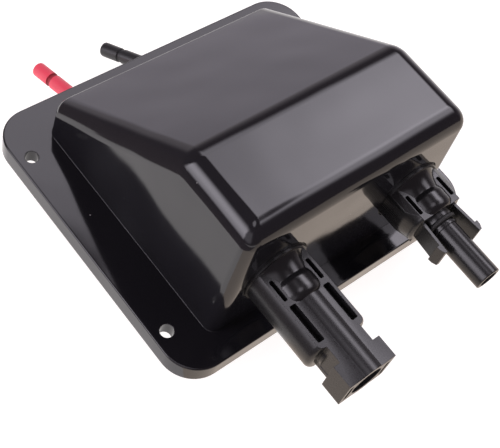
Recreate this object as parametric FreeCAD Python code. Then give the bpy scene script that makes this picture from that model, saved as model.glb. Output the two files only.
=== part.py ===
"""Solar cable entry housing: a moulded roof housing with a sloping hood, two panel
connectors in its front wall and the two wires that leave under its back edge.

X runs to the right seen from the front, Y to the back, Z up. The origin is the
middle of the flange's underside, which lies on the roof. Millimetres.
"""
import FreeCAD
import Part
import math
import os

V = FreeCAD.Vector

# Flange
flange_w = 120.0          # width, along X
flange_d = 103.0          # depth, along Y
flange_h = 6.4            # height of the rim above the roof
flange_r = 11.2           # corner radius seen from above
flange_round = 0.5        # rounding of the upper outer edge
plate_t = 2.6             # thickness of the top plate of the flange
rim_t = 2.4               # thickness of the rim
hole_d = 4.4              # screw hole
hole_side = 4.8           # hole centre to the left or right edge
hole_end = 16.6           # hole centre to the front or back edge
boss_wall = 2.0           # wall of the boss round each screw hole
boss_gap = 1.3            # the bosses and ribs end this far above the roof
rib_t = 1.6               # thickness of the ribs under the flange
rib_pitch = 14.0          # spacing of the ribs

# Hood
hood_w = 90.8             # width at the flange
hood_front = 43.2         # centre to the foot of the front wall
hood_back = 41.7          # centre to the foot of the back wall
hood_top = 55.5           # height of the flat top above the roof
ridge_y = -11.3           # where the flat top turns into the back slope
slope_deg = 34.9          # fall of the back slope
side_draft = 3.0          # draft of the side walls, degrees
end_draft = 1.2           # draft of the front and back walls, degrees
wall_t = 2.6              # wall thickness of the hood
top_r = 6.6               # rounding of the top edges
front_r = 4.0             # rounding of the two upright front edges
back_r = 4.5              # rounding of the two upright back edges
ridge_r = 9.0             # rounding of the ridge

# Connector seats
seat_side = 18.35         # connector axis to the foot of the hood's side wall
seat_z = 27.7             # connector axis above the roof
recess_r = 11.5           # round recess in the wall's outer face, for the washer
pad_in = 0.6              # least height of the pad that backs the recess inside
pad_rim = 1.5             # the pad is this much larger all round than the recess
shank_r = 8.0             # shank that goes through the wall
shank_gap = 0.15          # clearance of the shank in the wall
seal_t = 0.6              # rubber washer under the collar
seal_r = 11.3
collar_r = 11.0
collar_t = 0.8
nut_af = 22.0             # lock nut across flats
nut_h = 5.0
nut_chamfer = 0.8
shank_l = 13.5            # shank behind the seat
fit = 0.05                # clearance between pieces that fit together
extra = 1.0               # cutters and joined solids reach this far past a face
near = 0.1                # an edge this close to a place counts as there

# Connector bodies, measured along the axis from the back of the collar
deck_z = 6.1              # half height between the flat decks
deck_end = 13.2           # where the neck has become the tube
neck_root_r = 10.0        # neck where it leaves the collar
neck_waist_r = 7.8
neck_waist_s = 5.6
neck_bulge_r = 8.2
neck_bulge_s = (7.8, 10.2)
short_slot_x = 6.8        # middle of the short slots
short_slot_w = 1.35
short_slot_s = (3.9, 11.0)
slot_depth = 3.2
slot_r = 0.5              # round corners of the slots

# socket connector
socket_barrel_r = 10.4
socket_barrel_end = 27.7
socket_barrel_round = 1.8
socket_tube_r = 6.95
socket_len = 40.3
notch_x = 6.2             # half width between the two latch windows
notch_end = 33.2
waist_lap = 4.0           # length of the waist inside the barrel
ear_x = 8.6               # half width of the mouth
ear_r = 1.2               # rounding of the mouth's lower edges
long_slot_x = 6.3
long_slot_w = 2.3
long_slot_s = (12.9, 25.6)
mouth_r = 5.2             # bore that takes the plug's tube
mouth_depth = 23.0
channel_gap = 0.2         # clearance round a latch arm

# plug connector
plug_barrel_r = 11.0
plug_barrel_s = 7.8       # where the barrel starts to narrow
plug_nose_r = 9.8         # barrel radius at its front end
plug_nose_round = 1.2
plug_nose_l = 1.7         # straight length behind the front face
plug_deck_x = 7.75        # half width of the flat deck
plug_bevel = 1.3          # drop of the bevel beside the deck
plug_bevel_x = 2.15       # width of that bevel
plug_tube_r = 4.25
plug_len = 37.1
plug_tube_round = 0.4
plug_root_r = 5.25        # thicker root of the tube, up to the seal
arm_x = 7.3               # outer face of a latch arm at its root
arm_t = 1.0
arm_z = 3.65              # half height of an arm
arm_len = 11.0            # from the deck's end to the tip of the arm
arm_root = 1.5            # length of the arm inside the barrel
arm_splay = 4.5           # degrees that a free arm stands outwards
hook_len = 2.9
hook_out = 1.05
hook_nose_out = 0.84      # how far the hook stands out where its nose starts
hook_nose = 1.5           # length of the hook's steep nose
ring_groove_r = 4.2       # groove that holds the tube seal
ring_r = 0.72             # radius of the tube seal's section
ring_s = 15.5
stop_r = 4.75             # small collar in front of the tube seal
stop_s = (17.0, 17.7)

# Contacts and wire entry
socket_core_r = 3.2       # bore that holds the pin contact
plug_core_r = 3.1         # bore that holds the sleeve contact
pin_r = 2.0
pin_tip = 30.5
# rounding of the pin's tip: how far back from the tip, and in from the radius
pin_nose = ((2.5, 0.0), (1.2, 0.25), (0.2, 0.9), (0.0, 1.3))
sleeve_r = 2.9
sleeve_tip = 34.5
sleeve_depth = 14.0
sleeve_slit_w = 0.6
sleeve_slit_l = 11.0
contact_r = 2.5
crimp_r = 2.4             # outside of the crimp barrel
stop_flange_s = (13.2, 15.0)
clip_s = 7.0              # middle of the retaining clip
clip_w = 1.6
clip_groove = 0.4
clip_slit = 1.0
crimp_s = -5.0            # open end of the crimp barrel
crimp_l = 8.0
crimp_step = 0.5          # cone between the crimp barrel and the contact
strand_r = 1.3
strand_gap = 0.3          # between the strands and the bottom of the barrel
wire_d = 4.6
wire_start = -7.0
gland_bore_r = 5.4        # bore at the rear of the body, for the wire seal
bush_ribs = 3             # ribs of the rubber bush round the wire
bush_rib_h = 0.4
bush_rib_l = 1.2
grip_l = 6.0              # length of the clamping basket behind the seal
grip_nose_t = 1.2         # wall of the basket at its small end
grip_ring_l = 1.5         # uncut ring at its large end
grip_slits = 6
grip_slit_w = 0.8
cap_r = 9.6
cap_taper_l = 5.0
cap_chamfer = 0.6
cap_flutes = 8
cap_flute_r = 1.3
cap_flute_out = 0.7       # axis of a flute outside the cap's radius
cap_flute_back = 4.0      # start of the flutes, from the cap's back
cap_flute_front = 1.5     # end of the flutes, from the cap's front
cap_overlap = 4.0         # length of the cap that is over the shank
cap_wall = 2.0
cap_end_gap = 1.0         # room between the basket and the cap's end wall
cap_gap = 0.45            # clearance of the wire in the cap's mouth

# Wire routes: points chosen by eye, from behind the gland to the cut end
red_route = [
    (-27.05, -4.5, 27.7),
    (-25.6, 24.0, 6.8),
    (-24.1, 48.9, -2.75),
    (-26.35, 73.1, -9.5),
]
black_route = [
    (27.05, -5.0, 27.7),
    (16.5, 24.0, 6.2),
    (5.2, 49.3, -2.6),
    (-0.1, 71.1, -12.3),
]

# Sizes that follow from the ones above
side_tan = math.tan(math.radians(side_draft))
end_tan = math.tan(math.radians(end_draft))
slope_tan = math.tan(math.radians(slope_deg))
wire_r = wire_d / 2
seat_x = hood_w / 2 - seat_side
boss_r = hole_d / 2 + boss_wall
plate_z = flange_h - plate_t


def front_wall_y(inset, z):
    """Y of the hood's front wall at a height: outer face, or inset by the wall."""
    foot = hood_front - inset / math.cos(math.radians(end_draft))
    return -foot + (z - flange_h) * end_tan


# the collar's back is square to the axis and level with the drafted wall at its top
seat_y = front_wall_y(0, seat_z + recess_r)
pad_t = front_wall_y(wall_t, seat_z + recess_r + pad_rim) + pad_in - seat_y
arm_end = deck_end + arm_len
mouth_end = socket_len - mouth_depth
wide = 2 * collar_r       # half size of cutters that pass right across a connector
cap_front = -shank_l + cap_overlap
cap_back = -shank_l - grip_l - cap_wall - cap_end_gap


# Helpers
def box(x0, x1, y0, y1, z0, z1):
    return Part.makeBox(x1 - x0, y1 - y0, z1 - z0, V(x0, y0, z0))


def rod(r, s0, s1):
    """Cylinder on the local axis, from s0 to s1."""
    return Part.makeCylinder(r, s1 - s0, V(0, 0, s0))


def turned(points):
    """Solid of revolution about the local axis from (radius, s) points."""
    wire = Part.makePolygon([V(r, 0, s) for r, s in points + points[:1]])
    return Part.Face(wire).revolve(V(0, 0, 0), V(0, 0, 1), 360)


def joined(shapes):
    return shapes[0].multiFuse(shapes[1:]).removeSplitter()


def both_sides(shape):
    """A shape and its mirror image across the local YZ plane."""
    return [shape, shape.mirror(V(0, 0, 0), V(1, 0, 0))]


def four_ways(shape):
    """A shape, mirrored left to right and top to bottom."""
    pair = both_sides(shape)
    return pair + [s.mirror(V(0, 0, 0), V(0, 1, 0)) for s in pair]


def rounded_plate(w, d, z0, z1, r):
    """Upright prism on a rectangle with round corners."""
    plate = box(-w / 2, w / 2, -d / 2, d / 2, z0, z1)
    edges = [e for e in plate.Edges if abs(e.tangentAt(e.FirstParameter).z) > 0.99]
    return plate.makeFillet(r, edges)


def seated(shape, side):
    """Turn a connector piece to face forwards and put it on its pad."""
    placed = shape.copy()
    placed.rotate(V(0, 0, 0), V(1, 0, 0), 90)
    placed.translate(V(side * seat_x, seat_y, seat_z))
    return placed


def edges_where(shape, test):
    """Edges whose middle point and direction pass the test."""
    found = []
    for e in shape.Edges:
        middle = e.valueAt((e.FirstParameter + e.LastParameter) / 2)
        along = e.tangentAt((e.FirstParameter + e.LastParameter) / 2)
        if test(middle, along):
            found.append(e)
    return found


# Housing
def hood_block(inset, foot):
    """The hood as a solid: side profile cut to the drafted front view, then
    rounded. With an inset it is the space inside a wall of that thickness."""
    top = hood_top - inset
    back = hood_back - inset / math.cos(math.radians(end_draft))
    half = hood_w / 2 - inset / math.cos(math.radians(side_draft))
    # the ridge moves along the bisector of the two faces
    ridge = ridge_y - inset * math.tan(math.radians(slope_deg / 2))
    fall = (back - ridge - (top - flange_h) * end_tan) / (1 - slope_tan * end_tan)
    low = top - fall * slope_tan

    def y_back(z):
        return back - (z - flange_h) * end_tan

    side_view = Part.makePolygon([
        V(0, front_wall_y(inset, foot), foot),
        V(0, front_wall_y(inset, top), top),
        V(0, ridge, top),
        V(0, y_back(low), low),
        V(0, y_back(foot), foot),
        V(0, front_wall_y(inset, foot), foot),
    ])
    long_body = Part.Face(side_view).extrude(V(hood_w, 0, 0))
    long_body.translate(V(-hood_w / 2, 0, 0))
    low_half = half - (foot - flange_h) * side_tan
    top_half = half - (top - flange_h) * side_tan
    start = -hood_front - extra
    front_view = Part.makePolygon([
        V(-low_half, start, foot),
        V(low_half, start, foot),
        V(top_half, start, top),
        V(-top_half, start, top),
        V(-low_half, start, foot),
    ])
    across = Part.Face(front_view).extrude(V(0, hood_back + extra - start, 0))
    block = long_body.common(across)
    block = block.makeFillet(ridge_r - inset, edges_where(
        block, lambda m, t: abs(t.x) > 0.99 and abs(m.y - ridge) < near))
    block = block.makeFillet(front_r - inset, edges_where(
        block, lambda m, t: m.y < -hood_front / 2 and abs(t.z) > 0.9))
    block = block.makeFillet(top_r - inset, edges_where(
        block, lambda m, t: m.z > low + near and (
            abs(m.x) > top_half - near or (abs(t.x) > 0.99 and m.y < ridge - ridge_r))))
    # the back corners are rounded below a crisp top edge, so they are cut last
    back_view = Part.makePolygon([
        V(-hood_w / 2, start, foot),
        V(-hood_w / 2, y_back(foot), foot),
        V(-hood_w / 2, y_back(top), top),
        V(-hood_w / 2, start, top),
        V(-hood_w / 2, start, foot),
    ])
    tall = Part.Face(back_view).extrude(V(hood_w, 0, 0)).common(across)
    tall = tall.makeFillet(back_r - inset, edges_where(
        tall, lambda m, t: m.y > hood_back / 2 and abs(t.z) > 0.9))
    return block.common(tall)


def hole_centres():
    x = flange_w / 2 - hole_side
    y = flange_d / 2 - hole_end
    return [(sx * x, sy * y) for sx in (-1, 1) for sy in (-1, 1)]


def flange():
    """Plate and rim, hollow below."""
    outer = rounded_plate(flange_w, flange_d, 0, flange_h, flange_r)
    outer = outer.makeFillet(flange_round, edges_where(
        outer, lambda m, t: m.z > flange_h - near))
    inner = rounded_plate(
        flange_w - 2 * rim_t, flange_d - 2 * rim_t, 0, plate_z, flange_r - rim_t)
    return outer.cut(inner)


def flange_ribs():
    """Short ribs between the rim and the walls of the hood."""
    ribs = []
    x_rim = flange_w / 2 - rim_t / 2
    x_wall = hood_w / 2 - wall_t / 2
    y_rim = flange_d / 2 - rim_t / 2
    y_wall = hood_front - wall_t / 2
    for k in (-1, 0, 1):
        y = k * rib_pitch
        ribs.append(box(x_wall, x_rim, y - rib_t / 2, y + rib_t / 2, boss_gap, plate_z + extra))
    for k in (-2, -1, 0, 1, 2):
        x = k * rib_pitch
        ribs.append(box(x - rib_t / 2, x + rib_t / 2, -y_rim, -y_wall, boss_gap, plate_z + extra))
    side = [r.mirror(V(0, 0, 0), V(1, 0, 0)) for r in ribs[:3]]
    return ribs + side


def housing_shell():
    """Flange, hood, pads, screw bosses and ribs as one open-bottomed moulding."""
    pads = [
        seated(rod(recess_r + pad_rim, -pad_t, -pad_t / 2), side) for side in (-1, 1)
    ]
    hood = joined([flange(), hood_block(0, plate_z)])
    cavity = hood_block(wall_t, -extra)
    shell = joined([hood.cut(cavity)] + pads)
    bosses = [
        Part.makeCylinder(boss_r, plate_z + extra - boss_gap, V(x, y, boss_gap))
        for x, y in hole_centres()
    ]
    shell = joined([shell] + bosses + flange_ribs())
    for x, y in hole_centres():
        shell = shell.cut(Part.makeCylinder(hole_d / 2, flange_h + 2 * extra, V(x, y, -extra)))
    for side in (-1, 1):
        shell = shell.cut(seated(rod(recess_r, -seal_t, pad_t), side))
        shell = shell.cut(seated(rod(shank_r + shank_gap, -2 * pad_t, pad_t), side))
    return shell


# Connector bodies in local axes: s forwards, y up
def neck():
    """Tapered neck with a waist, a straight swell and a round shoulder."""
    s0, s1 = neck_bulge_s
    root = V(neck_root_r, 0, collar_t)
    waist = V(neck_waist_r, 0, neck_waist_s)
    swell = V(neck_bulge_r, 0, s0)
    shoulder = V(neck_bulge_r, 0, s1)
    tip = V(socket_tube_r, 0, deck_end)
    taper = Part.BSplineCurve()
    taper.interpolate([root, waist, swell], Tangents=[
        V(-1, 0, 1), V(-0.25, 0, 1), V(0, 0, 1)], TangentFlags=[True, True, True])
    fall = Part.BSplineCurve()
    fall.interpolate([shoulder, tip], Tangents=[V(0, 0, 1), V(-1, 0, 0.6)],
                     TangentFlags=[True, True])
    edges = [
        Part.LineSegment(V(0, 0, collar_t), root).toShape(),
        taper.toShape(),
        Part.LineSegment(swell, shoulder).toShape(),
        fall.toShape(),
        Part.LineSegment(tip, V(0, 0, deck_end)).toShape(),
        Part.LineSegment(V(0, 0, deck_end), V(0, 0, collar_t)).toShape(),
    ]
    return Part.Face(Part.Wire(edges)).revolve(V(0, 0, 0), V(0, 0, 1), 360)


def flats(half, s0, s1):
    """Slab between the two decks."""
    return box(-wide, wide, -half, half, s0, s1)


def shank():
    """Collar in front of the wall and shank through it."""
    return joined([rod(collar_r, 0, collar_t), rod(shank_r, -shank_l, 0)])


def slots(x, w, span):
    """Four blind slots with round corners, sunk from both decks."""
    slot = box(x - w / 2, x + w / 2, deck_z - slot_depth, deck_z + extra, span[0], span[1])
    slot = slot.makeFillet(slot_r, edges_where(slot, lambda m, t: abs(t.y) > 0.99))
    return four_ways(slot)


def rear_bore():
    return rod(gland_bore_r, -shank_l - extra, wire_start)


def socket_body():
    """Socket connector: barrel, latch windows and a mouth with two ears."""
    barrel = rod(socket_barrel_r, collar_t, socket_barrel_end)
    barrel = barrel.makeFillet(socket_barrel_round, edges_where(
        barrel, lambda m, t: m.z > socket_barrel_end - near))
    barrel = barrel.common(flats(deck_z, collar_t, socket_barrel_end))
    waist = box(-notch_x, notch_x, -deck_z, deck_z, socket_barrel_end - waist_lap,
                notch_end + extra)
    waist = waist.makeFillet(ear_r, edges_where(
        waist, lambda m, t: m.y < 0 and abs(t.z) > 0.99))
    ears = box(-ear_x, ear_x, -deck_z, deck_z, notch_end, socket_len)
    ears = ears.makeFillet(ear_r, edges_where(
        ears, lambda m, t: m.y < 0 and abs(t.z) > 0.99))
    tube = rod(socket_tube_r, deck_end, socket_len)
    body = joined([shank(), neck(), barrel, waist, ears, tube])
    channel = box(
        arm_x - arm_t - channel_gap, arm_x + channel_gap,
        -arm_z - channel_gap, arm_z + channel_gap,
        socket_len - arm_len - channel_gap, socket_len + extra)
    cuts = slots(short_slot_x, short_slot_w, short_slot_s)
    cuts += slots(long_slot_x, long_slot_w, long_slot_s) + both_sides(channel)
    cuts.append(rod(mouth_r, mouth_end, socket_len + extra))
    cuts.append(rod(socket_core_r, wire_start - extra, mouth_end + extra))
    cuts.append(rear_bore())
    return body.cut(cuts[0].multiFuse(cuts[1:]))


def latch_arm():
    """One spring arm with its hook, on the right, splayed about its root."""
    outline = Part.makePolygon([
        V(arm_x - arm_t, -arm_z, deck_end - arm_root),
        V(arm_x, -arm_z, deck_end - arm_root),
        V(arm_x, -arm_z, arm_end - hook_len),
        V(arm_x + hook_out, -arm_z, arm_end - hook_len),
        V(arm_x + hook_nose_out, -arm_z, arm_end - hook_nose),
        V(arm_x, -arm_z, arm_end),
        V(arm_x - arm_t, -arm_z, arm_end),
        V(arm_x - arm_t, -arm_z, deck_end - arm_root),
    ])
    arm = Part.Face(outline).extrude(V(0, 2 * arm_z, 0))
    arm.rotate(V(arm_x, 0, deck_end), V(0, 1, 0), arm_splay)
    return arm


def plug_body():
    """Plug connector: barrel with a raised deck, latch arms and a long tube."""
    barrel = turned([
        (0, collar_t),
        (plug_barrel_r, collar_t),
        (plug_barrel_r, plug_barrel_s),
        (plug_nose_r, deck_end - plug_nose_l),
        (plug_nose_r, deck_end),
        (0, deck_end),
    ])
    barrel = barrel.makeFillet(plug_nose_round, edges_where(
        barrel, lambda m, t: m.z > deck_end - near))
    # the bevels beside the decks would meet at this half width
    tip_x = plug_deck_x + deck_z * plug_bevel_x / plug_bevel
    section = Part.makePolygon([
        V(-plug_deck_x, -deck_z, 0),
        V(plug_deck_x, -deck_z, 0),
        V(tip_x, 0, 0),
        V(plug_deck_x, deck_z, 0),
        V(-plug_deck_x, deck_z, 0),
        V(-tip_x, 0, 0),
        V(-plug_deck_x, -deck_z, 0),
    ])
    barrel = barrel.common(Part.Face(section).extrude(V(0, 0, plug_len)))
    deck = box(-plug_deck_x, plug_deck_x, -deck_z, deck_z, collar_t, deck_end)
    tube = rod(plug_tube_r, deck_end - extra, plug_len)
    tube = tube.makeFillet(plug_tube_round, edges_where(tube, lambda m, t: m.z > plug_len - near))
    root = rod(plug_root_r, deck_end - extra, ring_s - ring_r)
    stop = rod(stop_r, stop_s[0], stop_s[1])
    body = joined([shank(), neck(), barrel, deck, tube, root, stop] + both_sides(latch_arm()))
    groove = rod(plug_root_r + extra, ring_s - ring_r, ring_s + ring_r).cut(
        rod(ring_groove_r, ring_s - ring_r, ring_s + ring_r))
    cuts = slots(short_slot_x, short_slot_w, short_slot_s)
    cuts += [groove, rod(plug_core_r, wire_start - extra, plug_len + extra), rear_bore()]
    return body.cut(cuts[0].multiFuse(cuts[1:]))


# Seals, nuts and glands
def wall_seal():
    return rod(seal_r, -seal_t, 0).cut(rod(shank_r + fit, -seal_t - extra, extra))


def lock_nut():
    """Hexagon nut behind the wall with both faces chamfered."""
    across = nut_af / math.sqrt(3)
    corners = [
        V(across * math.cos(math.radians(60 * k)), across * math.sin(math.radians(60 * k)), 0)
        for k in range(7)
    ]
    s1 = -pad_t
    s0 = s1 - nut_h
    hexagon = Part.Face(Part.makePolygon(corners)).extrude(V(0, 0, nut_h))
    hexagon.translate(V(0, 0, s0))
    flat = nut_af / 2
    round_off = turned([
        (0, s0),
        (flat, s0),
        (flat + 2 * nut_chamfer, s0 + nut_chamfer),
        (flat + 2 * nut_chamfer, s1 - nut_chamfer),
        (flat, s1),
        (0, s1),
    ])
    return hexagon.common(round_off).cut(rod(shank_r + fit, s0 - extra, s1 + extra))


def tube_seal():
    ring = Part.makeTorus(ring_groove_r + ring_r, ring_r)
    ring.translate(V(0, 0, ring_s))
    return ring


def wire_seal():
    """Ribbed rubber bush round the wire, in the rear bore of the body."""
    r = gland_bore_r - fit
    span = wire_start + shank_l
    low = r - bush_rib_h
    points = [(wire_r + fit, -shank_l), (low, -shank_l)]
    for k in range(bush_ribs):
        s = -shank_l + span * (k + 0.5) / bush_ribs
        points += [(low, s - bush_rib_l / 2), (r, s), (low, s + bush_rib_l / 2)]
    points += [(low, wire_start - fit), (wire_r + fit, wire_start - fit)]
    return turned(points)


def wire_grip():
    """Slit basket that the cap squeezes round the wire."""
    s1 = -shank_l - fit
    s0 = s1 - grip_l
    basket = turned([
        (wire_r + fit, s0),
        (wire_r + grip_nose_t, s0),
        (gland_bore_r, s1 - grip_ring_l),
        (gland_bore_r, s1),
        (wire_r + fit, s1),
    ])
    cuts = []
    for k in range(grip_slits // 2):
        slit = box(-wide, wide, -grip_slit_w / 2, grip_slit_w / 2, s0 - extra, s1 - grip_ring_l)
        slit.rotate(V(0, 0, 0), V(0, 0, 1), k * 360 / grip_slits)
        cuts.append(slit)
    return basket.cut(cuts[0].multiFuse(cuts[1:]))


def gland_cap():
    """Fluted cap over the rear of the shank, with a cone that closes the basket."""
    cone = -shank_l - grip_l - fit
    outer = turned([
        (0, cap_back),
        (wire_r + cap_gap + cap_wall, cap_back),
        (cap_r, cap_back + cap_taper_l),
        (cap_r, cap_front - cap_chamfer),
        (cap_r - cap_chamfer, cap_front),
        (0, cap_front),
    ])
    flutes = []
    for k in range(cap_flutes):
        flute = rod(cap_flute_r, cap_back + cap_flute_back, cap_front - cap_flute_front)
        flute.translate(V(cap_r + cap_flute_out, 0, 0))
        flute.rotate(V(0, 0, 0), V(0, 0, 1), k * 360 / cap_flutes)
        flutes.append(flute)
    outer = outer.cut(flutes[0].multiFuse(flutes[1:]))
    inner = turned([
        (0, cap_back - extra),
        (wire_r + cap_gap, cap_back - extra),
        (wire_r + cap_gap, cone),
        (wire_r + grip_nose_t + 2 * fit, cone),
        (gland_bore_r + 2 * fit, -shank_l - fit - grip_ring_l),
        (gland_bore_r + 2 * fit, -shank_l - fit),
        (shank_r + fit, -shank_l - fit),
        (shank_r + fit, cap_front + extra),
        (0, cap_front + extra),
    ])
    return outer.cut(inner)


# Contacts
def contact_root(front):
    """Crimp barrel, clip groove and stop flange shared by both contacts."""
    s0, s1 = stop_flange_s
    return turned([
        (0, crimp_s),
        (crimp_r, crimp_s),
        (crimp_r, crimp_s + crimp_l),
        (contact_r, crimp_s + crimp_l + crimp_step),
        (contact_r, clip_s - clip_w / 2),
        (contact_r - clip_groove, clip_s - clip_w / 2),
        (contact_r - clip_groove, clip_s + clip_w / 2),
        (contact_r, clip_s + clip_w / 2),
        (contact_r, s0),
        (plug_core_r - fit, s0),
        (plug_core_r - fit, s1),
        (contact_r, s1),
        (contact_r, front),
        (0, front),
    ]).cut(rod(strand_r + fit, crimp_s - extra, crimp_s + crimp_l))


def socket_pin():
    """Pin contact with a rounded tip, standing in the mouth of the socket."""
    nose = [(pin_r - inwards, pin_tip - back) for back, inwards in pin_nose]
    pin = turned([(0, mouth_end), (pin_r, mouth_end)] + nose + [(0, pin_tip)])
    return joined([contact_root(mouth_end), pin])


def plug_sleeve():
    """Slit sleeve contact inside the plug's tube."""
    s0 = sleeve_tip - sleeve_depth
    sleeve = rod(sleeve_r, stop_flange_s[1], sleeve_tip)
    body = joined([contact_root(stop_flange_s[1] + extra), sleeve])
    cuts = [rod(pin_r + fit, s0, sleeve_tip + extra)]
    for k in range(2):
        slit = box(-wide, wide, -sleeve_slit_w / 2, sleeve_slit_w / 2,
                   sleeve_tip - sleeve_slit_l, sleeve_tip + extra)
        slit.rotate(V(0, 0, 0), V(0, 0, 1), 45 + 90 * k)
        cuts.append(slit)
    return body.cut(cuts[0].multiFuse(cuts[1:]))


def contact_clip(bore):
    """Open spring ring that keeps a contact in its bore."""
    ring = rod(bore - fit, clip_s - clip_w / 2 + fit, clip_s + clip_w / 2 - fit)
    ring = ring.cut(rod(contact_r - clip_groove + fit, clip_s - clip_w, clip_s + clip_w))
    return ring.cut(box(0, wide, -clip_slit / 2, clip_slit / 2, clip_s - clip_w, clip_s + clip_w))


def wire_strands():
    """Bared conductor between the wire's end and the crimp barrel."""
    return rod(strand_r, wire_start, crimp_s + crimp_l - strand_gap)


# Wires
def wire(side, route, name):
    """Round wire along straight runs joined by the largest tangent arcs."""
    points = [V(side * seat_x, seat_y - wire_start, seat_z)] + [V(*p) for p in route]
    edges = []
    radii = []
    at = points[0]
    for a, b, c in zip(points, points[1:], points[2:]):
        before = (b - a).normalize()
        after = (c - b).normalize()
        turn = before.getAngle(after)
        reach = 0.45 * min((b - a).Length, (c - b).Length)
        radii.append(reach / math.tan(turn / 2))
        start = b - before * reach
        end = b + after * reach
        inward = (after - before).normalize()
        middle = b + inward * (radii[-1] / math.cos(turn / 2) - radii[-1])
        edges.append(Part.LineSegment(at, start).toShape())
        edges.append(Part.Arc(start, middle, end).toShape())
        at = end
    edges.append(Part.LineSegment(at, points[-1]).toShape())
    path = Part.Wire(edges)
    length = sum(e.Length for e in edges)
    heading = (points[1] - points[0]).normalize()
    section = Part.Wire([Part.makeCircle(wire_r, points[0], heading)])
    tube = path.makePipeShell([section], True, False)
    print(name, "radii", [round(r, 1) for r in radii], "length", round(length, 1),
          "volume ratio", round(tube.Volume / (math.pi * wire_r ** 2 * length), 4))
    return tube


# All pieces
def pieces():
    made = {"housing_shell": housing_shell()}
    sides = {"socket": (-1, socket_body(), socket_pin(), socket_core_r),
             "plug": (1, plug_body(), plug_sleeve(), plug_core_r)}
    for name, (side, body, contact, bore) in sides.items():
        made[name + "_body"] = seated(body, side)
        made[name + "_contact"] = seated(contact, side)
        made[name + "_contact_clip"] = seated(contact_clip(bore), side)
        made[name + "_wall_seal"] = seated(wall_seal(), side)
        made[name + "_lock_nut"] = seated(lock_nut(), side)
        made[name + "_wire_seal"] = seated(wire_seal(), side)
        made[name + "_wire_grip"] = seated(wire_grip(), side)
        made[name + "_gland_cap"] = seated(gland_cap(), side)
        made[name + "_wire_strands"] = seated(wire_strands(), side)
    made["plug_tube_seal"] = seated(tube_seal(), 1)
    made["red_wire"] = wire(-1, red_route, "red_wire")
    made["black_wire"] = wire(1, black_route, "black_wire")
    return made


def main():
    os.makedirs("parts", exist_ok=True)
    for name, shape in pieces().items():
        solids = len(shape.Solids)
        if not shape.isValid() or solids != 1:
            print("CHECK", name, "valid", shape.isValid(), "solids", solids)
        shape.exportStep("parts/" + name + ".step")
        print(name, "volume", round(shape.Volume, 1))


main()
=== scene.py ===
# %% [markdown]
# # A solar cable entry housing
#
# This box is screwed over a cable hole in a roof: a glossy black moulding with a
# sloping hood, two panel connectors in its front wall, and two wires that leave under
# the back edge. The exact solids come from the CAD frame. This lesson dresses them: it
# smooths their shading, gives each material its finish, and makes the wires with their
# cut ends, which the solids leave plain.

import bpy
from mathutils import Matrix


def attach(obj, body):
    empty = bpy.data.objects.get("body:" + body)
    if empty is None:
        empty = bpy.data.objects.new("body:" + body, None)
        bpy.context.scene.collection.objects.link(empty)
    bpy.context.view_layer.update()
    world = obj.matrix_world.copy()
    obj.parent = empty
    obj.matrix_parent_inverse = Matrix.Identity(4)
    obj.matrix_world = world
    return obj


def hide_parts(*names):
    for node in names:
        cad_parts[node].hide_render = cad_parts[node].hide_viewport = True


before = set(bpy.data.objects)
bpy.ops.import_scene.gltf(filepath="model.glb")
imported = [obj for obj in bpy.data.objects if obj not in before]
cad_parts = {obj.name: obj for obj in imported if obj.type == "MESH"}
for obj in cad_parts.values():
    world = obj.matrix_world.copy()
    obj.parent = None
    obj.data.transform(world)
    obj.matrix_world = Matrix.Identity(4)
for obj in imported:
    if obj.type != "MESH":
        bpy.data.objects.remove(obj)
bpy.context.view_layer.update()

# %% Modules
import bmesh
import bpy
import math
from mathutils import Matrix, Vector

mm = 0.001

# %% [markdown]
# ## The camera
#
# The camera stands where the picture was taken from: to the left of the connectors'
# side, high up, and rolled by 24 degrees, which is why the upright edges lean. Its
# place and its three angles were found by fitting the box's straight edges, which fixes
# them better than turning a view by hand. It is made first, because the wires are
# judged by what the camera sees of them. The colours were matched without a film-like
# curve, so the view transform is the plain one.

# %% Camera
camera_place = Vector((-177.562, -119.340, 290.414)) * mm
heading = math.radians(30.9467)     # it looks this far round from +X towards +Y
dip = math.radians(55.6463)         # and this far below the horizon
roll = math.radians(23.7545)
quarter = math.radians(90)


def make_camera():
    data = bpy.data.cameras.new("camera")
    data.sensor_fit = "HORIZONTAL"
    data.sensor_width = 36.0
    data.lens = 79.641
    data.clip_start = 0.01
    data.clip_end = 20.0
    camera = bpy.data.objects.new("camera", data)
    bpy.context.scene.collection.objects.link(camera)
    around_z = Matrix.Rotation(heading - quarter, 4, "Z")
    from_straight_down = Matrix.Rotation(quarter - dip, 4, "X")
    camera.matrix_world = (Matrix.Translation(camera_place) @ around_z @ from_straight_down
                           @ Matrix.Rotation(roll, 4, "Z"))
    bpy.context.scene.camera = camera
    return camera


camera = make_camera()
bpy.context.scene.view_settings.view_transform = "Standard"
print("camera", [round(c, 3) for c in camera.location])

# %% [markdown]
# ## A helper for every finish
#
# Plastic, rubber, tin and copper differ in colour, in roughness and in the grain of
# their surface, but all of them wander a little from place to place, and a surface
# without that looks computed. So each finish starts from the Principled shader and gets
# noise in its colour, its roughness and its relief. The noise reads Object coordinates:
# the pieces sit at the origin, so a pattern stays where it is on the object. A Mapping
# node can stretch it, for marks that run one way. No edge of a real moulding is
# perfectly sharp, so a Bevel node can round the shading over a fraction of a millimetre.

# %% Node helpers
def add_node(tree, kind, inputs, **settings):
    """A new node. An input is linked where a socket is given, and otherwise set to the value."""
    node = tree.nodes.new(kind)
    for name, value in settings.items():
        setattr(node, name, value)
    for name, value in inputs.items():
        if isinstance(value, bpy.types.NodeSocket):
            tree.links.new(value, node.inputs[name])
        else:
            node.inputs[name].default_value = value
    return node


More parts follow.
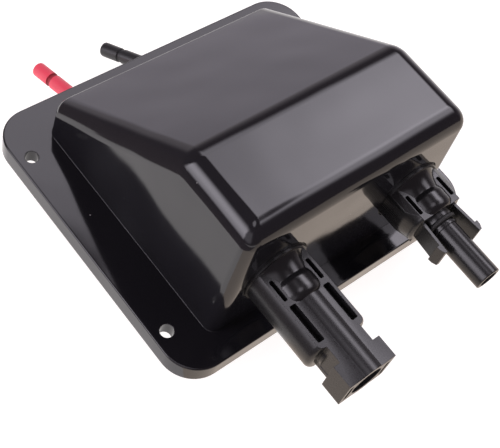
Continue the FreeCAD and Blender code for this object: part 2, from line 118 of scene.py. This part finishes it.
def object_noise(tree, scale, detail, stretch=(1.0, 1.0, 1.0)):
    """A noise between 0 and 1 that lies still on the object."""
    place = add_node(tree, "ShaderNodeTexCoord", {})
    stretched = add_node(tree, "ShaderNodeMapping", {"Vector": place.outputs["Object"], "Scale": stretch})
    noise = add_node(tree, "ShaderNodeTexNoise", {
        "Vector": stretched.outputs["Vector"], "Scale": scale, "Detail": detail})
    return noise.outputs["Fac"]


# %% The finish helper
cloud_scale = 60.0          # patches of colour about two centimetres wide
least_rough = 0.02


def finish_of(name, colour, rough, metal=0.0, spread=0.15, vary=0.03, grain=900.0, bump=0.05,
              relief=0.04 * mm, stretch=(1.0, 1.0, 1.0), edge=0.0):
    """Colour within spread of the given one, roughness within vary, and a grain in the surface."""
    material = bpy.data.materials.new(name)
    material.use_nodes = True
    tree = material.node_tree
    shader = tree.nodes["Principled BSDF"]
    shader.inputs["Metallic"].default_value = metal

    tint = add_node(tree, "ShaderNodeMixRGB", {
        "Fac": object_noise(tree, scale=cloud_scale, detail=4.0, stretch=stretch),
        "Color1": [c * (1 - spread) for c in colour] + [1.0],
        "Color2": [min(1.0, c * (1 + spread)) for c in colour] + [1.0]})
    tree.links.new(tint.outputs["Color"], shader.inputs["Base Color"])

    fine = object_noise(tree, scale=grain, detail=3.0, stretch=stretch)
    sheen = add_node(tree, "ShaderNodeMapRange", {
        "Value": fine, "To Min": max(least_rough, rough - vary), "To Max": rough + vary})
    tree.links.new(sheen.outputs["Result"], shader.inputs["Roughness"])

    grained = add_node(tree, "ShaderNodeBump", {"Height": fine, "Strength": bump, "Distance": relief})
    if edge > 0:
        soften = add_node(tree, "ShaderNodeBevel", {"Radius": edge}, samples=6)
        tree.links.new(soften.outputs["Normal"], grained.inputs["Normal"])
    tree.links.new(grained.outputs["Normal"], shader.inputs["Normal"])
    return material


# %% [markdown]
# ## Finishes of the wires
#
# A solar wire has a jacket of crosslinked plastic. It is smooth but not glossy, and it
# carries faint marks from the die it was drawn through. They run lengthwise, which near
# the free ends is along Y, so the noise is stretched that way. Under the jacket lies a
# second layer of insulation, darker on the red wire, and then the strands, whose bump
# is deep enough to break up their shine.

# %% Wire finishes
drawn = (1.0, 0.08, 0.4)        # stretches the grain along the wires' free ends
red_jacket = finish_of("red jacket", (0.78, 0.065, 0.105), rough=0.42, spread=0.06, grain=1400.0,
                       bump=0.12, stretch=drawn)
red_inner = finish_of("red inner insulation", (0.30, 0.010, 0.022), rough=0.5, spread=0.1, grain=1400.0)
black_jacket = finish_of("black jacket", (0.012, 0.012, 0.013), rough=0.42, grain=1400.0, bump=0.15,
                         stretch=drawn)
black_inner = finish_of("black inner insulation", (0.012, 0.012, 0.013), rough=0.5, grain=1400.0)
copper = finish_of("tinned copper strands", (0.78, 0.52, 0.38), rough=0.3, metal=1.0, spread=0.2,
                   grain=2600.0, bump=0.5, relief=0.2 * mm)
print("wire finishes:", [m.name for m in bpy.data.materials])

# %% [markdown]
# ## The wires: a line and a tube
#
# Each wire leaves the gland behind its connector, sinks under the hood and passes below
# the back edge of the flange, in the easy bends of a stiff cable. Its line is a NURBS
# spline through a few route points, which can't kink as a chain of straight pieces
# would. The tube is the curve's own round bevel, so it stays round in every bend. A
# rubber bush squeezes the jacket inside the gland: there the spline's points have a
# smaller radius, and the tube swells to its full size on its way out.

# %% Line and tube
wire_r = 2.55 * mm
bush_r = 2.3 * mm           # the hole of the bush in the gland
points_in_gland = 2


def route_curve(name, points, radius):
    curve = bpy.data.curves.new(name, "CURVE")
    curve.dimensions = "3D"
    curve.resolution_u = 24
    curve.bevel_depth = radius
    curve.bevel_resolution = 6
    curve.use_fill_caps = radius > 0
    spline = curve.splines.new("NURBS")
    spline.points.add(len(points) - 1)
    for point, place in zip(spline.points, points):
        point.co = (*place, 1.0)
    for point in spline.points[:points_in_gland]:
        point.radius = bush_r / wire_r
    spline.order_u = 3
    spline.use_endpoint_u = True
    return bpy.data.objects.new(name, curve)


def mesh_of(curve_object):
    bpy.context.scene.collection.objects.link(curve_object)
    bpy.context.view_layer.update()
    seen = curve_object.evaluated_get(bpy.context.evaluated_depsgraph_get())
    mesh = bpy.data.meshes.new_from_object(seen)
    bpy.data.objects.remove(curve_object)
    return mesh


# %% [markdown]
# ## The wires: the cut in the jacket
#
# The jacket is cut all round near the wire's end, ready to be stripped, and the loose
# piece has slid off by a millimetre, so the inner insulation shows in the gap. Tubes of
# two thicknesses could stand for that, but one inside the other they would hide faces.
# Instead bisect_plane cuts the one tube square to its line at both walls of the gap,
# and the skin between the cuts is drawn in towards the line, so the mesh stays closed.

# %% Cut the jacket
gap_near = 7.6 * mm         # the gap lies this far back from the wire's end
gap_far = 9.4 * mm
gap_wall = 0.3 * mm         # each wall of the gap slopes over this length
gap_slack = 0.1 * mm        # the gap's own rims, within this, stay on the jacket
inner_share = 0.82          # the inner insulation's radius, as a share of the jacket's


def cut_jacket(shape, line, along):
    end = line[-1]
    for back in (gap_near, gap_near + gap_wall, gap_far - gap_wall, gap_far):
        bmesh.ops.bisect_plane(
            shape, geom=shape.verts[:] + shape.edges[:] + shape.faces[:],
            plane_co=end - along * back, plane_no=along)
    for vert in shape.verts:
        back = (end - vert.co).dot(along)
        if gap_near + gap_slack < back < gap_far - gap_slack:
            nearest = min(line, key=lambda p: abs((end - p).dot(along) - back))
            middle = nearest + along * (vert.co - nearest).dot(along)
            vert.co = middle + (vert.co - middle) * inner_share
    for face in shape.faces:
        if gap_near < (end - face.calc_center_median()).dot(along) < gap_far:
            face.material_index = 1


# %% [markdown]
# ## The wires: the cut end
#
# Cutters squeeze a wire before they part it, so its rim comes out round. The curve
# closes its tube with a cap of triangles, which would each be bevelled alone, so they
# are dissolved into one face first. A bevel of that face's edges rounds the rim. Two
# insets, each a little deeper than the one before, then divide the face into the
# jacket, the inner insulation and the copper, and each takes its own material.

# %% Dress the cut end
rim_r = 0.6 * mm
jacket_ring = 0.3 * mm      # width of the jacket's ring on the end face, inside the rim
jacket_step = 0.05 * mm     # the inner layers lie this much deeper
inner_ring = 0.35 * mm
inner_step = 0.12 * mm
cap_reach = 0.5 * mm        # the cap's triangles lie within this of the wire's end
square_on = 0.9             # and their normals are at least this much along the wire


def joined_cap(shape, end, along):
    shape.normal_update()
    triangles = []
    for face in shape.faces:
        back = (end - face.calc_center_median()).dot(along)
        if back < cap_reach and abs(face.normal.dot(along)) > square_on:
            triangles.append(face)
    return bmesh.ops.dissolve_faces(shape, faces=triangles)["region"][0]


def end_face(shape, along):
    """The face that lies furthest along the wire, and the largest of those level with it."""
    return max(shape.faces, key=lambda f: (round(f.calc_center_median().dot(along) / mm, 3), f.calc_area()))


def dress_end(shape, end, along):
    cap = joined_cap(shape, end, along)
    bmesh.ops.bevel(shape, geom=cap.edges[:], offset=rim_r, segments=4, profile=0.5,
                    affect="EDGES", material=-1, clamp_overlap=True)
    cap = end_face(shape, along)
    bmesh.ops.inset_individual(shape, faces=[cap], thickness=jacket_ring, depth=-jacket_step)
    rings = bmesh.ops.inset_individual(shape, faces=[cap], thickness=inner_ring, depth=-inner_step)
    for face in rings["faces"]:
        face.material_index = 1
    cap.material_index = 2


# %% [markdown]
# ## The wires: one closed piece each
#
# The caps of the curve's tube don't share their vertices with its skin, so these are
# merged first. Cutting and insetting can leave slivers, which are dissolved at the end.
# The normals are then made to agree. That can still leave all of them pointing inwards,
# which the sign of the volume tells.

# %% Build a wire
weld = 0.01 * mm
sliver = 0.002 * mm
wire_crease = math.radians(40)      # edges sharper than this stay sharp in the shading


def wire_piece(name, points, jacket, inner):
    line = [v.co.copy() for v in mesh_of(route_curve(name + "_line", points, 0.0)).vertices]
    along = (line[-1] - line[-2]).normalized()
    shape = bmesh.new()
    shape.from_mesh(mesh_of(route_curve(name + "_tube", points, wire_r)))
    bmesh.ops.remove_doubles(shape, verts=shape.verts, dist=weld)
    cut_jacket(shape, line, along)
    dress_end(shape, line[-1], along)
    bmesh.ops.dissolve_degenerate(shape, edges=shape.edges, dist=sliver)
    bmesh.ops.recalc_face_normals(shape, faces=shape.faces)
    if shape.calc_volume(signed=True) < 0:
        bmesh.ops.reverse_faces(shape, faces=shape.faces)
    for face in shape.faces:
        face.smooth = True
    mesh = bpy.data.meshes.new(name)
    shape.to_mesh(mesh)
    shape.free()
    mesh.set_sharp_from_angle(angle=wire_crease)
    for material in (jacket, inner, copper):
        mesh.materials.append(material)
    piece = bpy.data.objects.new(name, mesh)
    bpy.context.scene.collection.objects.link(piece)
    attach(piece, "root")
    return piece, line


# %% Red and black wire
red_points = [
    (-0.02705, -0.035513, 0.0277), (-0.02705, -0.0045, 0.0277), (-0.0256, 0.024, 0.0068),
    (-0.0252, 0.0489, -0.00295), (-0.02655, 0.0729, -0.0095),
]
black_points = [
    (0.02705, -0.035513, 0.0277), (0.02705, -0.005, 0.0277), (0.0165, 0.024, 0.0062),
    (0.0052, 0.0493, -0.0028), (-0.0001, 0.0711, -0.0120),
]
for node, points, jacket, inner, slot in (
        ("red_wire", red_points, red_jacket, red_inner, "red_insulation"),
        ("black_wire", black_points, black_jacket, black_inner, "black_insulation")):
    piece, line = wire_piece(node + "_dressed", points, jacket, inner)
    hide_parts(node)

# %% [markdown]
# ## Finish of the housing
#
# The housing is moulded in a highly polished tool, so it mirrors the room. What tells
# that it is plastic is how it bends those reflections: a moulding shrinks unevenly as
# it cools and is left slightly wavy. Waves in the mesh would need far more faces, so a
# second bump, broad and soft, bends the shading instead. Polished black also shows
# every speck of dust. The specks are the middles of Voronoi cells, and a broad noise
# keeps only those of a few places, as dust settles in patches.

# %% Waves and dust
wave_height = 0.7 * mm      # of the bump; strong, because the noise is broad
speck_rim = 0.035           # distance from a cell's middle where a speck begins to show
speck_middle = 0.02
dusty_from = 0.55           # dust lies where the broad noise is higher than this
dusty_full = 0.59
dust_grey = (0.35, 0.34, 0.33)


def add_waves(material):
    tree = material.node_tree
    normal = tree.nodes["Principled BSDF"].inputs["Normal"]
    waves = add_node(tree, "ShaderNodeBump", {
        "Height": object_noise(tree, scale=32.0, detail=1.0), "Strength": 1.0, "Distance": wave_height,
        "Normal": normal.links[0].from_socket})
    tree.links.new(waves.outputs["Normal"], normal)


def add_dust(material):
    tree = material.node_tree
    base = tree.nodes["Principled BSDF"].inputs["Base Color"]
    place = add_node(tree, "ShaderNodeTexCoord", {})
    cells = add_node(tree, "ShaderNodeTexVoronoi", {"Vector": place.outputs["Object"], "Scale": 130.0})
    middles = add_node(tree, "ShaderNodeMapRange", {
        "Value": cells.outputs["Distance"], "From Min": speck_rim, "From Max": speck_middle})
    broad = object_noise(tree, scale=45.0, detail=2.0)
    patches = add_node(tree, "ShaderNodeMapRange", {
        "Value": broad, "From Min": dusty_from, "From Max": dusty_full})
    specks = add_node(tree, "ShaderNodeMath", {
        0: middles.outputs["Result"], 1: patches.outputs["Result"]}, operation="MULTIPLY")
    dusty = add_node(tree, "ShaderNodeMixRGB", {
        "Fac": specks.outputs["Value"], "Color1": base.links[0].from_socket, "Color2": (*dust_grey, 1.0)})
    tree.links.new(dusty.outputs["Color"], base)


# %% Housing finish
polished = finish_of("polished black housing", (0.0092, 0.0088, 0.0108), rough=0.09, spread=0.1,
                     vary=0.015, grain=320.0, bump=0.03, relief=0.02 * mm, edge=0.28 * mm)
add_waves(polished)
add_dust(polished)
print("housing finish:", len(polished.node_tree.nodes), "nodes")

# %% [markdown]
# ## Finishes of the connectors, seals and contacts
#
# The flat decks of the connectors come from a finely textured part of their tool and
# look satin. The round necks and the collars come from a smoother part of it, so they
# get a finish of their own that is a little glossier. It is also a little darker in
# colour, and that is painted shade: the collars and necks sit close under the hood,
# which shades them. The small pieces inside are made as their real ones are: matt
# rubber, plated contacts with a faint lengthwise grain, and clips of spring steel.

# %% Connector, seal and contact finishes
satin = finish_of("satin black connector", (0.0100, 0.0098, 0.0105), rough=0.28, spread=0.12,
                  grain=2000.0, bump=0.02, relief=0.02 * mm, edge=0.18 * mm)
# Painted shade: the neck finish's colour is darker than the satin's, for the shade under the hood; its
# lower roughness is the smoother tool finish.
smooth_neck_painted_shade = finish_of("smooth black neck with painted shade", (0.0085, 0.0083, 0.0089), rough=0.2, spread=0.1, vary=0.02,
                        grain=1200.0, bump=0.02, relief=0.02 * mm, edge=0.18 * mm)
rubber = finish_of("black rubber", (0.022, 0.022, 0.022), rough=0.62, grain=1500.0, bump=0.2)
tin = finish_of("tin plated contact", (0.74, 0.73, 0.71), rough=0.28, metal=1.0, grain=700.0, bump=0.1,
                stretch=(1.0, 0.15, 1.0))
spring = finish_of("spring steel", (0.56, 0.56, 0.56), rough=0.3, metal=1.0, stretch=(1.0, 0.2, 1.0))
print("finishes so far:", len(bpy.data.materials))

# %% [markdown]
# ## The hood's back edge
#
# The edges of the flat top are broad rounds in the solid itself. The edge between the
# back slope and the walls below it is crisp, but even so a moulding keeps a small round
# there, and in a polished one it catches a thin line of light. A Bevel node alone is
# too weak to show from afar, so that edge gets a real bevel of one millimetre. The
# edges to round are found by what meets in them: an upright wall that faces backwards,
# and a roof.

# %% Find and round the back edge
back_edge_r = 1.0 * mm
crisp_from = math.radians(30)
flange_top = 9 * mm         # nothing of the flange or its rim is higher
roof_min_z = 0.25           # a roof's normal points up at least this much
wall_max_z = 0.2            # an upright wall's normal, at most this much up or down
wall_min_y = 0.15           # and at least this much backwards


def is_back_edge(edge):
    if not edge.is_manifold or edge.calc_face_angle() < crisp_from:
        return False
    wall, roof = sorted((f.normal for f in edge.link_faces), key=lambda n: n.z)
    lies_on_hood = min(v.co.z for v in edge.verts) > flange_top
    is_wall = abs(wall.z) < wall_max_z and wall.y > wall_min_y
    return lies_on_hood and is_wall and roof.z > roof_min_z


def round_back_edge(shape):
    shape.normal_update()
    found = [edge for edge in shape.edges if is_back_edge(edge)]
    bmesh.ops.bevel(shape, geom=found, offset=back_edge_r, segments=4, profile=0.5,
                    affect="EDGES", material=-1, clamp_overlap=False)
    print("back edges rounded:", len(found))


# %% [markdown]
# ## The connectors' necks
#
# A connector is one moulding with two finishes, so the neck and the collar aren't
# separate pieces. Their faces are found by where they lie: the collar in a thin slice
# at the wall, and the neck round the connector's axis, above and below the flat decks.
# The wires start on those axes, so the axis is taken from there.

# %% Find the necks
axis_x, _, axis_z = black_points[0]
seat_y = -45.2 * mm         # the connectors' collars sit on the wall here
collar_back = 1.0 * mm
collar_front = 1.2 * mm
neck_front = 13.2 * mm
neck_r = 10.0 * mm
deck_height = 6.25 * mm     # the flat decks end this far above and below the axis


def is_neck(middle):
    forward = seat_y - middle.y
    side = abs(middle.x) - axis_x
    above = abs(middle.z - axis_z)
    on_collar = -collar_back < forward < collar_front
    on_neck = forward < neck_front and above > deck_height and math.hypot(side, above) < neck_r
    return on_collar or on_neck


# %% [markdown]
# ## Smooth copies of the solids
#
# A CAD solid arrives as loose flat triangles, so a glossy fillet would show facets. A
# copy of each solid is merged, its crisp edges are marked sharp by their angle, and
# weighted normals let the large flat faces rule the shading. A subdivision would smooth
# it too, but it would swell the shape. The copy then stands for its node.

# %% Copy one node
copy_weld = 0.0005 * mm
crease = math.radians(28)


def welded_copy(node):
    """A bmesh of the solid, without its own corner normals, which belong to loose triangles."""
    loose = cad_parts[node].data.copy()
    for layer in [a for a in loose.attributes if a.name == "custom_normal"]:
        loose.attributes.remove(layer)
    shape = bmesh.new()
    shape.from_mesh(loose)
    bmesh.ops.remove_doubles(shape, verts=shape.verts, dist=copy_weld)
    bmesh.ops.dissolve_degenerate(shape, edges=shape.edges, dist=copy_weld)
    return shape


def smooth_copy(node, finishes, trim=None):
    """Where there is a second finish, it goes on the connector's neck. trim changes the shape."""
    shape = welded_copy(node)
    if trim:
        trim(shape)
    for face in shape.faces:
        face.smooth = True
        face.material_index = int(len(finishes) > 1 and is_neck(face.calc_center_median()))
    for edge in shape.edges:
        edge.smooth = edge.is_manifold and edge.calc_face_angle() < crease
    mesh = bpy.data.meshes.new(node + "_dressed")
    shape.to_mesh(mesh)
    shape.free()
    for finish in finishes:
        mesh.materials.append(finish)
    piece = bpy.data.objects.new(mesh.name, mesh)
    bpy.context.scene.collection.objects.link(piece)
    weighted = piece.modifiers.new("weighted normals", "WEIGHTED_NORMAL")
    weighted.keep_sharp = True
    weighted.weight = 100
    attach(piece, "root")
    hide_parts(node)
    print(node, "faces:", len(mesh.polygons))


# %% Copy them all
smooth_copy("housing_shell", [polished], trim=round_back_edge)
for node in ("socket_body", "plug_body", "socket_lock_nut", "plug_lock_nut",
             "socket_gland_cap", "plug_gland_cap", "socket_wire_grip", "plug_wire_grip"):
    smooth_copy(node, [satin, smooth_neck_painted_shade])
for node in ("socket_wall_seal", "plug_wall_seal", "plug_tube_seal", "socket_wire_seal", "plug_wire_seal"):
    smooth_copy(node, [rubber])
for node in ("socket_contact", "plug_contact"):
    smooth_copy(node, [tin])
for node in ("socket_contact_clip", "plug_contact_clip"):
    smooth_copy(node, [spring])
for node in ("socket_wire_strands", "plug_wire_strands"):
    smooth_copy(node, [copper])

# %% [markdown]
# ## The table
#
# The picture was taken on a sheet of white paper, which stays white to the edge of the
# picture. Lamps alone would leave it uneven and pale grey, so it also glows by itself,
# evenly, and only the piece's soft shadow is left to darken it. It is a grid of one
# face, scaled and moved in its mesh.

# %% Paper
floor_z = -15.0 * mm
table_reach = 3.0           # metres from the middle to the table's edge


def flat_sheet(name, corner, far_corner, height, material):
    shape = bmesh.new()
    bmesh.ops.create_grid(shape, x_segments=1, y_segments=1, size=0.5)
    size = Vector(far_corner) - Vector(corner)
    bmesh.ops.scale(shape, verts=shape.verts, vec=(size.x, size.y, 1.0))
    middle = (Vector(far_corner) + Vector(corner)) / 2
    bmesh.ops.translate(shape, verts=shape.verts, vec=(middle.x, middle.y, height))
    mesh = bpy.data.meshes.new(name)
    shape.to_mesh(mesh)
    shape.free()
    mesh.materials.append(material)
    sheet = bpy.data.objects.new(name, mesh)
    bpy.context.scene.collection.objects.link(sheet)
    return sheet


def make_it_glow(material, colour, strength):
    """Light of its own, and no mirror image of the piece on it."""
    shader = material.node_tree.nodes["Principled BSDF"]
    shader.inputs["Specular IOR Level"].default_value = 0.0
    shader.inputs["Emission Color"].default_value = (*colour, 1.0)
    shader.inputs["Emission Strength"].default_value = strength


white_paper = finish_of("white paper", (0.36, 0.36, 0.36), rough=0.7, spread=0.01, grain=300.0, bump=0.02)
make_it_glow(white_paper, (1.0, 0.965, 0.95), strength=0.93)
flat_sheet("paper", (-table_reach, -table_reach), (table_reach, table_reach), floor_z, white_paper)
print("paper at", floor_z)

# %% [markdown]
# ## Cards that only mirrors see
#
# In a polished black moulding the paper is as visible as any lamp: it is what the
# upright walls mirror, warm in front and cooler behind. To the left it ends a few
# centimetres beside the flange, and the dark that follows draws the dark line along the
# hood's left edge. Tinting the paper itself would show in the picture, so three cards
# lie just above it that the camera doesn't see, as a studio would use flags and
# reflectors. They cast no shadow and give no light to matt surfaces.

# %% Mirror cards
card_lift = 1 * mm
paper_end_x = -97.0 * mm    # the mirrored paper ends here, to the left of the flange
dark_from_y = -0.4
cool_from_y = 0.20
warm_to_y = -0.053


def mirror_card(name, corner, far_corner, glow):
    finish = finish_of(name, (0.0, 0.0, 0.0), rough=1.0)
    make_it_glow(finish, glow, strength=1.0)
    card = flat_sheet(name, corner, far_corner, floor_z + card_lift, finish)
    card.visible_camera = False
    card.visible_diffuse = False
    card.visible_shadow = False


mirror_card("dark card", (-table_reach, dark_from_y), (paper_end_x, table_reach),
            glow=(0.19, 0.15, 0.16))
mirror_card("cool card", (paper_end_x, cool_from_y), (table_reach, table_reach),
            glow=(0.93, 0.86, 0.97))
mirror_card("warm card", (paper_end_x, -table_reach), (table_reach, warm_to_y),
            glow=(1.02, 0.87, 0.76))
print("cards at", floor_z + card_lift, "beside x", paper_end_x)

# %% [markdown]
# ## The room: directions
#
# The hood's rounded edges sweep over the whole room, and its flat faces show broad
# gradients, which small lamps would break into spots. So the room is painted on the
# world, as a function of the direction alone. Two angles name a direction: its height
# above the horizon, and how far around it is, from +X towards +Y. All angles here are
# in degrees.

# %% Height and around
world = bpy.data.worlds.new("room")
world.use_nodes = True
bpy.context.scene.world = world
sky = world.node_tree


def sky_math(operation, *values):
    return add_node(sky, "ShaderNodeMath", dict(enumerate(values)), operation=operation).outputs["Value"]


def sky_vector(operation, inputs):
    return add_node(sky, "ShaderNodeVectorMath", inputs, operation=operation)


def in_degrees(angle):
    return sky_math("MULTIPLY", angle, 180 / math.pi)


towards = add_node(sky, "ShaderNodeTexCoord", {}).outputs["Generated"]
direction = sky_vector("NORMALIZE", {0: towards}).outputs["Vector"]
parts = add_node(sky, "ShaderNodeSeparateXYZ", {0: direction}).outputs
height = in_degrees(sky_math("ARCSINE", parts["Z"]))
around = in_degrees(sky_math("ARCTAN2", parts["Y"], parts["X"]))
print("nodes for the direction:", len(sky.nodes))

# %% [markdown]
# ## The room: soft borders
#
# A hard border of a lamp would show as a line in a polished face. A smooth step between
# two angles gives each border its own softness, and a band is two such steps, one up
# and one down. Multiplied, bands make a patch, and a patch times a colour is a lamp.

# %% Fades, bands and lamps
def fade(angle, none, full):
    """0 where the angle is none, 1 where it is full, with a soft passage between."""
    step = add_node(sky, "ShaderNodeMapRange", {"Value": angle, "From Min": none, "From Max": full},
                    interpolation_type="SMOOTHSTEP")
    return step.outputs["Result"]


def band(angle, start, full_from, full_to, stop):
    return sky_math("MULTIPLY", fade(angle, start, full_from), fade(angle, stop, full_to))


def angle_from(around_deg, height_deg):
    """Degrees between the direction and a fixed one."""
    turn = math.radians(around_deg)
    rise = math.radians(height_deg)
    target = (math.cos(rise) * math.cos(turn), math.cos(rise) * math.sin(turn), math.sin(rise))
    cosine = sky_vector("DOT_PRODUCT", {0: direction, 1: target}).outputs["Value"]
    return in_degrees(sky_math("ARCCOSINE", cosine))


def lamp(level, colour, *masks):
    """Light of that level and colour where all the masks are 1."""
    patch = masks[0]
    for mask in masks[1:]:
        patch = sky_math("MULTIPLY", patch, mask)
    return sky_vector("SCALE", {0: [level * c for c in colour], "Scale": patch}).outputs["Vector"]


# %% [markdown]
# ## The room: its lamps
#
# What the hood's rounds show was measured along them. A large soft lamp hangs to the
# right and behind, with one half brighter and a bright core. A tall window stands at
# the left behind the piece, brightest in its middle, and a dimmer one beside it lights
# the left wall. One more lamp is overhead. White paper rises behind the piece and
# fades. The rest is a dim, brownish room.

# %% Lamps
dim_room = (0.16, 0.13, 0.145)
lamp_white = (1.0, 0.95, 1.05)
paper_white = (1.0, 0.93, 1.0)

panel = band(height, 31.5, 46, 57.5, 60.5)
panel_width = band(around, -43, -20, 60, 75)
panel_bright_half = band(around, -38, -15, 5, 22)
panel_core = fade(angle_from(around_deg=16, height_deg=49), none=17, full=0)
window = band(around, 136, 148, 168, 182)
window_height = band(height, -4, 10, 42, 60)
window_middle = band(height, 6, 30, 34, 50)
paper_rise = fade(height, none=27, full=3)
paper_width = band(around, -35, -5, 84, 102)
side_window = band(height, 2, 16, 46, 62)
side_front_half = fade(around, none=-122, full=-145)
side_back_half = fade(around, none=166, full=178)
overhead = fade(height, none=76, full=83)

lamps = [
    lamp(2.45, lamp_white, panel, panel_width),
    lamp(0.8, lamp_white, panel, panel_bright_half),
    lamp(3.0, lamp_white, panel, panel_core),
    lamp(3.3, lamp_white, window, window_height),
    lamp(1.9, lamp_white, window, window_middle),
    lamp(0.55, paper_white, paper_rise, paper_width),
    lamp(0.8, lamp_white, side_window, side_front_half),
    lamp(0.8, lamp_white, side_window, side_back_half),
    lamp(2.2, lamp_white, overhead),
]
print("lamps:", len(lamps))

# %% [markdown]
# ## The room: light and backdrop
#
# The lamps are added to the dim room. They light the piece and show in it, but the view
# itself would look past the paper's edge into the painted room. The Light Path node
# tells the two apart: a ray straight from the camera gets a plain white backdrop.

# %% Light up the room
backdrop = (1.0, 1.0, 1.0)
room_light = dim_room
for light in lamps:
    room_light = sky_vector("ADD", {0: room_light, 1: light}).outputs["Vector"]
ray = add_node(sky, "ShaderNodeLightPath", {})
shown = add_node(sky, "ShaderNodeMixRGB", {
    "Fac": ray.outputs["Is Camera Ray"], "Color1": room_light, "Color2": (*backdrop, 1.0)})
sky.links.new(shown.outputs["Color"], sky.nodes["Background"].inputs["Color"])
print("nodes in the world:", len(sky.nodes))

# %% Finish
bpy.context.view_layer.update()
